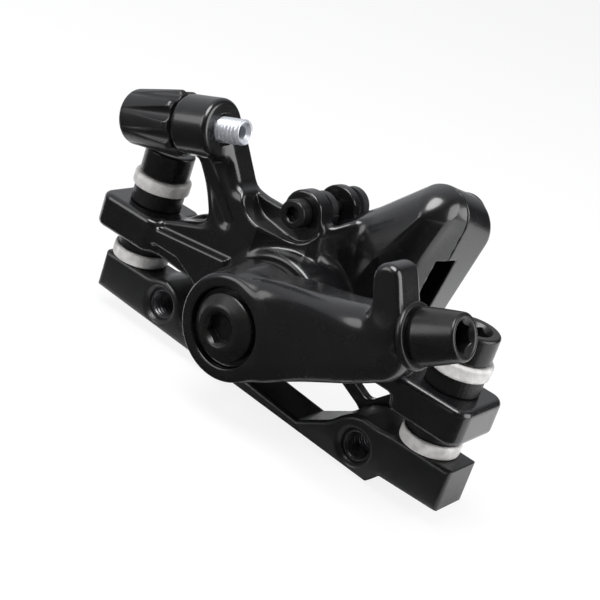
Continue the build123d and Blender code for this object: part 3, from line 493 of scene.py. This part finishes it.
# The arm's front and back at the hub, and how far each leans outward between these two places
ARM_FRONT, ARM_FRONT_LEAN, ARM_BACK, ARM_BACK_LEAN = -29.5, 5.4, -19.4, 5.6
BEND_START, BEND_RUN = 10, 22
ARM_ROOT, ARM_TIP = (6.0, -0.8, 9.6), (34.4, -2.2, 6.3)
HORN_LOW, HORN_TOP = (38.2, 3.0, 3.0), (38.9, 8.9, 2.8)
HORN_FRONT, HORN_BACK = -34.8, -27.8
RECESS_R = 7.4
ANCHOR_BORE_R, ANCHOR_BORE_END = 2.55, -9.3
SPRING_R, SPRING_ROOM, SPRING_HOLLOW = 7.0, 1.2, 6.4
SQUARE_HALF = 2.85


def anchor_at(w):
    """A point on the anchor bolt's axis, w beyond the arm's end face."""
    v, y = ANCHOR
    return (ARM_AXIS[0] * (ARM_END + w) - ARM_AXIS[2] * v, y, ARM_AXIS[2] * (ARM_END + w) + ARM_AXIS[0] * v)


def lever(p):
    """The actuator's lever. Here u runs along its arm and v across it."""
    x, y, z = p
    u = x * ARM_AXIS[0] + z * ARM_AXIS[2]
    v = -x * ARM_AXIS[2] + z * ARM_AXIS[0]
    r = HUB_FRONT_R + HUB_FLARE * np.clip((y - HUB_FRONT) / HUB_RUN, 0, 1)
    hub = slab(np.hypot(u, v) - r, y, HUB_FRONT, HUB_BACK, 1.1)
    # The arm leans outward from the hub to its end
    bend = ease((u - BEND_START) / BEND_RUN)
    front = ARM_FRONT - ARM_FRONT_LEAN * bend
    back = ARM_BACK - ARM_BACK_LEAN * bend
    arm = hull(u, v, ARM_ROOT, ARM_TIP)
    arm = round_corner(arm, front - y, 3.8 + 0.4 * bend)
    arm = round_corner(arm, y - back, 1.6)
    body = blend(hub, np.maximum(arm, u - ARM_END), 1.4)
    # Horn behind the anchor
    horn = round_corner(hull(u, v, HORN_LOW, HORN_TOP), u - ARM_END - 1.0, 0.6)
    body = blend(body, slab(horn, y, HORN_FRONT, HORN_BACK, 1.3), 2.6)
    # Recess for the lever bolt, the anchor's hole, the return spring's hollow and the spindle's square
    body = carve(body, slab(np.hypot(u, v) - RECESS_R, y, -40, FLANGE_SEAT, 0.3), 0.5)
    body = carve(body, rod(p, anchor_at(0), ARM_AXIS, ANCHOR_BORE_R, ANCHOR_BORE_END, 9, CRISP), 0.3)
    hollow = np.maximum(abs(np.hypot(u, v) - SPRING_R) - SPRING_ROOM, HUB_BACK - SPRING_HOLLOW - y)
    body = carve(body, hollow, 0.2)
    return carve(body, np.maximum(np.maximum(abs(x), abs(z)) - SQUARE_HALF, -y - 35), 0.1)


def adapter_low(x):
    """The height of the adapter's lower face, which slopes a little."""
    return -17.08 - 0.04784 * x


ADAPTER_OUTLINE = [
    (-42, adapter_low(-42)), (29.5, adapter_low(29.5)), (32.0, -16.0), (45, -15.6), (45, ADAPTER_TOP),
    (31.7, ADAPTER_TOP), (25.5, -8.0), (12.6, -15.5), (-17.9, -13.06), (-25.5, -6.6), (-29.1, ADAPTER_TOP),
    (-42, ADAPTER_TOP),
]
ADAPTER_MIDDLE, ADAPTER_HALF = 1.5, 43.5
ADAPTER_FRONT, ADAPTER_BACK = -15.3, -5.6
ADAPTER_BOSS_R = (4.8, 5.9)
FRAME_BORE_R, FRAME_SINK_R, POST_BORE_R = 3.0, 3.9, 3.0


def adapter(p):
    """The bar that joins the ears to the frame's tabs."""
    x, y, z = p
    outline = polygon(x, z, ADAPTER_OUTLINE)
    for place, r in zip(FRAME_HOLES, ADAPTER_BOSS_R):
        outline = blend(outline, np.maximum(circle(x, z, r, place), adapter_low(x) - z), 1.8)
    outline = np.maximum(np.maximum(outline, abs(x - ADAPTER_MIDDLE) - ADAPTER_HALF), adapter_low(x) - z)
    body = slab(outline, y, ADAPTER_FRONT, ADAPTER_BACK, 1.0)
    for place in FRAME_HOLES:
        body = bore(body, circle(x, z, FRAME_BORE_R, place), y, -20, 0)
        sink = circle(x, z, FRAME_SINK_R, place) + np.maximum(y - ADAPTER_FRONT, 0)
        body = carve(body, sink * 0.7, 0.3)
    for sign in (-1, 1):
        body = bore(body, circle(x, y, POST_BORE_R, (sign * POST_X, POST_Y)), z, -13.8, -5)
    return body


# Bolts, washers and other hardware

SWIVEL_R, SWIVEL_DROP = 11.0, 9.64


def socket(w, u, v, across, deep, mouth):
    """A hex socket that opens at w = 0 and runs to -deep, with a cone of radius mouth at its opening."""
    cone = (np.hypot(u, v) - mouth - w) * 0.7
    return np.maximum(np.minimum(hexagon(u, v, across), cone), -w - deep)


def ridges(w, u, v):
    """A screw thread's height round an axis, from 0 at its crests to 1 in its grooves."""
    t = (w / THREAD_PITCH + np.arctan2(v, u) / (2 * math.pi)) % 1.0
    return 1 - abs(2 * t - 1)


def cup_washer(base, rim):
    """Field and bounds of a washer with a hollow ball seat in its rim, about the mounting bolt's axis."""
    side = 1 if rim > base else -1

    def field(p):
        x, y, z = p
        r = np.hypot(x, y)
        body = slab(r - 5.75, z, min(base, rim), max(base, rim), 0.55)
        ball = np.sqrt(r * r + (z - rim - side * SWIVEL_DROP) ** 2) - SWIVEL_R
        return carve(carve(body, ball, 0.25), r - 3.3, 0.2)
    return field, (-6.4, -6.4, min(base, rim) - 0.5), (6.4, 6.4, max(base, rim) + 0.5)


def ball_washer(flat, rim):
    """Field and bounds of a washer with a flat face at the ear and a domed, rough face towards the cup."""
    side = 1 if rim > flat else -1

    def field(p):
        x, y, z = p
        r = np.hypot(x, y)
        ball = np.sqrt(r * r + (z - rim + side * SWIVEL_DROP) ** 2) - SWIVEL_R
        grain = 0.05 * np.sin(5.1 * x + 1.3 * np.sin(3.7 * z)) * np.sin(4.7 * y) * np.sin(5.9 * z)
        body = round_corner(round_corner(r - 5.15, side * (flat - z), 0.4), ball, 0.3) + abs(grain)
        return carve(body, r - 3.7, 0.2)
    return field, (-5.8, -5.8, min(flat, rim) - 1.2), (5.8, 5.8, max(flat, rim) + 1.2)


def mount_bolt(p):
    """A bolt that holds an ear to the adapter."""
    x, y, z = p
    r = np.hypot(x, y)
    body = np.minimum(slab(r - 5.0, z, MOUNT_HEAD_LOW, MOUNT_HEAD_TOP, 0.6), slab(r - 2.95, z, -13.5, 12, 0.2))
    return carve(body, socket(z - MOUNT_HEAD_TOP, x, y, 5.0, 3.2, 3.4), 0.15)


def body_bolt(p):
    """A bolt that holds the two castings together, put in from the inboard side."""
    x, y, z = p
    head_end = 14.0
    r = np.hypot(x, z)
    body = np.minimum(slab(r - 4.4, y, INBOARD_DEPTH, head_end, 0.9), slab(r - 2.95, y, -4.2, 10, 0.2))
    return carve(body, socket(y - head_end, x, z, 5.0, 3.0, 3.2), 0.15)


def pad_pin(p):
    """The pin through the pads' tabs, with a groove for its clip."""
    x, y, z = p
    head_end = -14.3
    r = np.hypot(x, z)
    body = np.minimum(slab(r - 2.75, y, head_end, PIN_HEAD_SEAT, 0.4), slab(r - 1.5, y, -12, 8.0, 0.25))
    body = np.maximum(body, -np.maximum(1.1 - r, abs(y - 6.7) - 0.35))
    return carve(body, socket(head_end - y, x, z, 2.5, 1.6, 1.55), 0.1)


def lever_bolt(p):
    """The lever's pivot bolt, with a wide flange that is bevelled towards its front."""
    x, y, z = p
    head_end = -31.1
    r = np.hypot(x, z)
    bevel = (r - 4.2 - 1.35 * (y - head_end)) * 0.6
    head = round_corner(slab(r - 6.4, y, head_end, FLANGE_SEAT, 0.25), bevel, 0.25)
    body = np.minimum(head, slab(r - 2.5, y, -29, -19.5, 0.2))
    return carve(body, socket(head_end - y, x, z, 5.0, 2.4, 3.3), 0.15)


ANCHOR_WASHER_TOP = 1.4
ANCHOR_HEAD_END = 9.95


def anchor_washer(p):
    """The washer under the anchor bolt's head."""
    w, u, v = along(p, anchor_at(0), ARM_AXIS, (0, 1, 0))
    r = np.hypot(u, v)
    return carve(slab(r - 5.8, w, 0, ANCHOR_WASHER_TOP, 0.65), r - 2.8, 0.2)


def anchor_bolt(p):
    """The cable's pinch bolt, with a long tapering head and a groove round it next to its washer."""
    w, u, v = along(p, anchor_at(0), ARM_AXIS, (0, 1, 0))
    r = np.hypot(u, v)
    taper = r - 4.95 + 0.95 * np.clip((w - ANCHOR_WASHER_TOP) / 8.6, 0, 1) ** 1.4
    neck = 0.5 * np.exp(-((w - 1.7) / 0.45) ** 2)
    head = slab(taper + neck, w, ANCHOR_WASHER_TOP, ANCHOR_HEAD_END, 0.4)
    body = np.minimum(head, slab(r - 2.5, w, -9.0, 2, 0.2))
    return carve(body, socket(w - ANCHOR_HEAD_END, u, v, 4.6, 3.4, 3.2), 0.2)


CABLE_BORE_R = 1.2
KNOB_R, KNOB_TAPER, KNOB_GAP = 6.5, 1.2, 0.3


def knob(p):
    """The barrel adjuster's fluted knob, from its boss end at w = 0 outward to -KNOB_LENGTH."""
    w, u, v = along(p, BOSS_FACE, BARREL_AXIS, (0, 1, 0))
    w = w - BOSS_BACK + KNOB_GAP
    r = np.hypot(u, v)
    t = np.clip(-w / KNOB_LENGTH, 0, 1)
    width = KNOB_R - KNOB_TAPER * t
    body = slab(r - width, w, -KNOB_LENGTH, 0.0, 1.1)
    # The flutes start as points at the outer end and widen towards the boss
    pitch = 2 * math.pi / FLUTES
    turn = (np.arctan2(v, u) + pitch / 2) % pitch - pitch / 2
    flute = np.hypot(r * np.cos(turn) - width - 0.45, r * np.sin(turn)) - 1.65 + 1.3 * t
    body = carve(body, flute, 0.3)
    # Bores for the screw, the cable and the cable housing
    body = carve(body, np.maximum(r - BARREL_BORE_R, -w - 4.0), 0.1)
    body = carve(body, r - CABLE_BORE_R, 0.1)
    return carve(body, np.maximum(r - 2.6, w + 4.7), 0.2)


def screw(p):
    """The barrel adjuster's hollow screw, threaded from the boss's face to its tip."""
    w, u, v = along(p, BOSS_FACE, BARREL_AXIS, (0, 1, 0))
    tip = 5.0
    r = np.hypot(u, v)
    thread = r - BARREL_THREAD_R + 0.38 * ridges(w, u, v) * ease(w + 1)
    body = slab(thread, w, -13.1, tip, 0.35)
    return carve(body, np.minimum(r - CABLE_BORE_R, (r - 2.0 - (w - tip)) * 0.7), 0.15)


def hole_thread(p):
    """A threaded sleeve for one of the adapter's frame holes, about the Y axis."""
    x, y, z = p
    r = np.hypot(x, z)
    inner = 2.5 + 0.35 * ridges(y, x, z) - r
    return np.maximum(slab(r - 3.05, y, -14.0, -5.7, CRISP), inner)


# Each piece's field, the low and high corners of its grid, and the places where it stands

CASTINGS = {
    "outboard_body": (outboard, (-46, -24, -14), (46, 1, 35)),
    "inboard_body": (inboard, (-28.5, -1, -14.5), (27, 11, 35)),
    "actuator_lever": (lever, (-13, -37, -13), (47, -18, 36)),
    "mount_adapter": (adapter, (-43, -17, -20), (46, -4, -5)),
}
POSTS = ((POST_X, POST_Y, 0), (-POST_X, POST_Y, 0))
FITTINGS = {
    "lower_cup_washers": (*cup_washer(ADAPTER_TOP, LOWER_CUP_RIM), POSTS),
    "upper_cup_washers": (*cup_washer(MOUNT_HEAD_LOW, UPPER_CUP_RIM), POSTS),
    "lower_ball_washers": (*ball_washer(EAR_LOW, LOWER_CUP_RIM), POSTS),
    "upper_ball_washers": (*ball_washer(EAR_TOP, UPPER_CUP_RIM), POSTS),
    "mount_bolts": (mount_bolt, (-5.6, -5.6, -14), (5.6, 5.6, 17.4), POSTS),
    "body_bolts": (body_bolt, (-5.3, -6.6, -5.3), (5.3, 15.4, 5.3), tuple((x, 0, z) for x, z in BOLTS)),
    "pad_pin": (pad_pin, (-3.3, -15, -3.3), (3.3, 8.6, 3.3), ((PIN[0], 0, PIN[1]),)),
    "lever_bolt": (lever_bolt, (-7, -31.7, -7), (7, -19, 7), HERE),
    "anchor_washer": (anchor_washer, (32, -37, 12), (41, -24, 25), HERE),
    "anchor_bolt": (anchor_bolt, (26, -36.2, 11), (47.5, -24.6, 27), HERE),
    "barrel_adjuster_knob": (knob, (-45, -24.5, 16), (-27, -10, 32.5), HERE),
    "barrel_adjuster_screw": (screw, (-35.5, -20.2, 21.4), (-15.4, -13.8, 33), HERE),
}
SLEEVES = (hole_thread, (-3.6, -14.6, -3.6), (3.6, -5, 3.6), FINE_STEP, [(x, 0, z) for x, z in FRAME_HOLES])


# Materials

COAT_ROUGHNESS = 0.06
BROAD_SHARE = 0.12
LEAST_ROUGHNESS = 0.02
BUMP_DEPTH = 0.1


def material(name, colour, roughness, metallic=0.0, coat=0.0, bump=0.0, scale=900.0, spread=0.25):
    """A painted or bare surface: broad noise varies its colour, and fine noise its roughness and bump."""
    m = bpy.data.materials.new(name)
    m.use_nodes = True
    nodes, links = m.node_tree.nodes, m.node_tree.links
    where = nodes.new("ShaderNodeTexCoord")

    def noise(scale, detail):
        node = nodes.new("ShaderNodeTexNoise")
        node.inputs["Scale"].default_value = scale
        node.inputs["Detail"].default_value = detail
        links.new(where.outputs["Object"], node.inputs["Vector"])
        return node.outputs["Fac"]

    shader = nodes["Principled BSDF"]
    shader.inputs["Metallic"].default_value = metallic
    shader.inputs["Coat Weight"].default_value = coat
    shader.inputs["Coat Roughness"].default_value = COAT_ROUGHNESS
    fine = noise(scale, 5.0)
    broad = noise(scale * BROAD_SHARE, 3.0)
    ramp = nodes.new("ShaderNodeValToRGB")
    first, last = ramp.color_ramp.elements
    first.position, last.position = 0.35, 0.65
    first.color = (*(c * (1 - spread) for c in colour), 1)
    last.color = (*(min(1, c * (1 + spread)) for c in colour), 1)
    links.new(broad, ramp.inputs["Fac"])
    links.new(ramp.outputs["Color"], shader.inputs["Base Color"])
    rough = nodes.new("ShaderNodeMapRange")
    rough.inputs["To Min"].default_value = max(LEAST_ROUGHNESS, roughness - 0.05)
    rough.inputs["To Max"].default_value = roughness + 0.07
    links.new(fine, rough.inputs["Value"])
    links.new(rough.outputs["Result"], shader.inputs["Roughness"])
    if bump:
        bumps = nodes.new("ShaderNodeBump")
        bumps.inputs["Strength"].default_value = bump
        bumps.inputs["Distance"].default_value = BUMP_DEPTH * MM
        links.new(fine, bumps.inputs["Height"])
        links.new(bumps.outputs["Normal"], shader.inputs["Normal"])
    return m


FINISHES = {
    "gloss_black_paint": dict(colour=(0.004, 0.004, 0.0045), roughness=0.25, coat=0.3, bump=0.02, scale=260),
    "satin_black_coat": dict(colour=(0.007, 0.007, 0.0075), roughness=0.33, bump=0.35, scale=1500),
    "pale_alloy": dict(
        colour=(0.56, 0.545, 0.535), roughness=0.6, metallic=0.15, bump=0.9, scale=3200, spread=0.22),
    "dark_washer_steel": dict(colour=(0.01, 0.01, 0.011), roughness=0.4, metallic=0.3, bump=0.6, scale=2200),
    "black_oxide_steel": dict(
        colour=(0.007, 0.0066, 0.0064), roughness=0.28, metallic=0.2, bump=0.05, scale=1500),
    "zinc_thread": dict(
        colour=(0.8, 0.82, 0.87), roughness=0.34, metallic=0.8, bump=0.1, scale=1500, spread=0.05),
    "black_plastic": dict(colour=(0.006, 0.006, 0.0065), roughness=0.34, bump=0.2, scale=1800),
    "dark_pad_steel": dict(colour=(0.03, 0.03, 0.032), roughness=0.4, metallic=0.4, bump=0.5, scale=1800),
    "friction_lining": dict(colour=(0.09, 0.075, 0.06), roughness=0.75, bump=0.8, scale=1600, spread=0.5),
    "frame_hole_thread": dict(colour=(0.09, 0.09, 0.095), roughness=0.3, metallic=0.8, bump=0.1, scale=1500),
    "spring_steel": dict(colour=(0.45, 0.45, 0.47), roughness=0.25, metallic=1.0, bump=0.05),
    "ground_steel": dict(colour=(0.5, 0.5, 0.52), roughness=0.22, metallic=1.0, bump=0.05),
    "bush_bronze": dict(colour=(0.42, 0.3, 0.16), roughness=0.4, metallic=1.0, bump=0.2),
    "black_rubber": dict(colour=(0.012, 0.012, 0.012), roughness=0.65, bump=0.3),
}
LOOKS = {name: material(name, **finish) for name, finish in FINISHES.items()}
SLOT_OF = {s["node"]: s["material_slot"] for s in frame["record"]["subparts"]}
BODY_OF = {node: body for body, nodes in frame["record"]["behaviour"]["bodies"].items() for node in nodes}


# Pieces

def dress(thing, look):
    """Gives a piece one material."""
    thing.data.materials.clear()
    thing.data.materials.append(LOOKS[look])


def stand_for(thing, node):
    """A piece that takes a CAD node's place, body and finish."""
    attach(thing, BODY_OF[node])
    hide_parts(node)
    dress(thing, SLOT_OF[node])


for node, thing in frame["nodes"].items():
    dress(thing, SLOT_OF[node])

for node, (field, low, high) in CASTINGS.items():
    stand_for(cast(f"{node}_casting", field, low, high), node)

for node, (field, low, high, places) in FITTINGS.items():
    stand_for(cast(f"{node}_detail", field, low, high, FINE_STEP, places), node)

sleeves = cast("frame_hole_threads", *SLEEVES)
stand_for(sleeves, "mount_adapter")
dress(sleeves, "frame_hole_thread")


# Camera, at the photograph's angle

AZIMUTH, ELEVATION, ROLL = math.radians(30.59), math.radians(22.28), math.radians(-19.14)
CAMERA_PLACE = (133.96, -233.72, 109.97)
SENSOR_WIDTH, LENS, NEAREST = 36.0, 89.69, 0.01
forward = Vector((
    -math.sin(AZIMUTH) * math.cos(ELEVATION),
    math.cos(AZIMUTH) * math.cos(ELEVATION),
    -math.sin(ELEVATION),
))
level = forward.cross(Vector((0, 0, 1))).normalized()
drop = forward.cross(level)
right = level * math.cos(ROLL) + drop * math.sin(ROLL)
down = drop * math.cos(ROLL) - level * math.sin(ROLL)
camera = bpy.data.objects.new("camera", bpy.data.cameras.new("camera"))
camera.data.sensor_width = SENSOR_WIDTH
camera.data.lens = LENS
camera.data.clip_start = NEAREST
turn = Matrix((right, -down, -forward)).transposed()
camera.matrix_world = Matrix.Translation(Vector(CAMERA_PLACE) * MM) @ turn.to_4x4()
bpy.context.scene.collection.objects.link(camera)
bpy.context.scene.camera = camera


# Lamps

AIM = (0, -10, 5)


def lamp(name, place, power, size):
    """A soft round lamp aimed at the object."""
    data = bpy.data.lights.new(name, "AREA")
    data.energy = power
    data.shape = "DISK"
    data.size = size * MM
    thing = bpy.data.objects.new(name, data)
    thing.location = Vector(place) * MM
    thing.rotation_mode = "QUATERNION"
    thing.rotation_quaternion = (Vector(AIM) - Vector(place)).to_track_quat("-Z", "Y")
    bpy.context.scene.collection.objects.link(thing)


lamp("lamp_above", (-40, -170, 410), 2.4, 300)
lamp("lamp_right", (420, 120, 220), 2.2, 460)
lamp("lamp_front", (-260, -380, 160), 0.7, 300)


# World and floor

bpy.context.scene.view_settings.view_transform = "Standard"


def show_camera(tree, others, seen, output, share=1.0):
    """Camera rays meet one shader, to this share, and all other rays the other one."""
    nodes, links = tree.nodes, tree.links
    is_camera = nodes.new("ShaderNodeLightPath").outputs["Is Camera Ray"]
    if share < 1:
        part = nodes.new("ShaderNodeMath")
        part.operation = "MULTIPLY"
        part.inputs[1].default_value = share
        links.new(is_camera, part.inputs[0])
        is_camera = part.outputs[0]
    mix = nodes.new("ShaderNodeMixShader")
    links.new(is_camera, mix.inputs[0])
    links.new(others.outputs[0], mix.inputs[1])
    links.new(seen.outputs[0], mix.inputs[2])
    links.new(mix.outputs[0], nodes[output].inputs["Surface"])


def matte(name, grey):
    """A plain rough grey for the studio."""
    m = bpy.data.materials.new(name)
    m.use_nodes = True
    shader = m.node_tree.nodes["Principled BSDF"]
    shader.inputs["Base Color"].default_value = (grey, grey, grey, 1)
    shader.inputs["Roughness"].default_value = 0.9
    return m


def level_sheet(name, x_low, x_high, y_low, y_high, z, look):
    """A level rectangle for the studio."""
    corners = [(x_low, y_low, z), (x_high, y_low, z), (x_high, y_high, z), (x_low, y_high, z)]
    thing = mesh_object(name, corners, [(0, 1, 2, 3)])
    thing.data.materials.append(look)
    return thing


# The studio is bright at the left, above and a little behind, and dark in front
BRIGHT_SIDE = (-0.74, 0.25, 0.62)
GLOW = {"From Min": 0.25, "From Max": 0.95, "To Min": 0.05, "To Max": 0.75}
world = bpy.data.worlds.new("studio")
bpy.context.scene.world = world
world.use_nodes = True
world_nodes, world_links = world.node_tree.nodes, world.node_tree.links
studio_light = world_nodes["Background"]
studio_light.inputs["Color"].default_value = (0.95, 0.96, 1.0, 1)
towards = world_nodes.new("ShaderNodeTexCoord")
facing = world_nodes.new("ShaderNodeVectorMath")
facing.operation = "DOT_PRODUCT"
facing.inputs[1].default_value = BRIGHT_SIDE
strength = world_nodes.new("ShaderNodeMapRange")
for name, value in GLOW.items():
    strength.inputs[name].default_value = value
world_links.new(towards.outputs["Generated"], facing.inputs[0])
world_links.new(facing.outputs["Value"], strength.inputs["Value"])
world_links.new(strength.outputs["Result"], studio_light.inputs["Strength"])
white = world_nodes.new("ShaderNodeBackground")
white.inputs["Color"].default_value = (1, 1, 1, 1)
white.inputs["Strength"].default_value = 1.0
show_camera(world.node_tree, studio_light, white, "World Output")

FLOOR_Z = cad_low.z / MM - 0.3
FLOOR_REACH = 2000.0
FLOOR_GREY = 0.86
# The share of white that camera rays see in the floor; the rest keeps the shadow
FLOOR_GLOW = 0.86
floor_look = matte("floor", FLOOR_GREY)
glow = floor_look.node_tree.nodes.new("ShaderNodeEmission")
glow.inputs["Strength"].default_value = 1.0
diffuse = floor_look.node_tree.nodes["Principled BSDF"]
show_camera(floor_look.node_tree, diffuse, glow, "Material Output", FLOOR_GLOW)
floor = level_sheet("floor", -FLOOR_REACH, FLOOR_REACH, -FLOOR_REACH, FLOOR_REACH, FLOOR_Z, floor_look)

# A dark card on the floor in front, seen only in reflections, as a studio's black flag
CARD_Z = FLOOR_Z + 0.2
card = level_sheet("front_card", -900, 260, -900, -22, CARD_Z, matte("card", 0.02))
card.visible_camera = False
card.visible_shadow = False
card.visible_diffuse = False
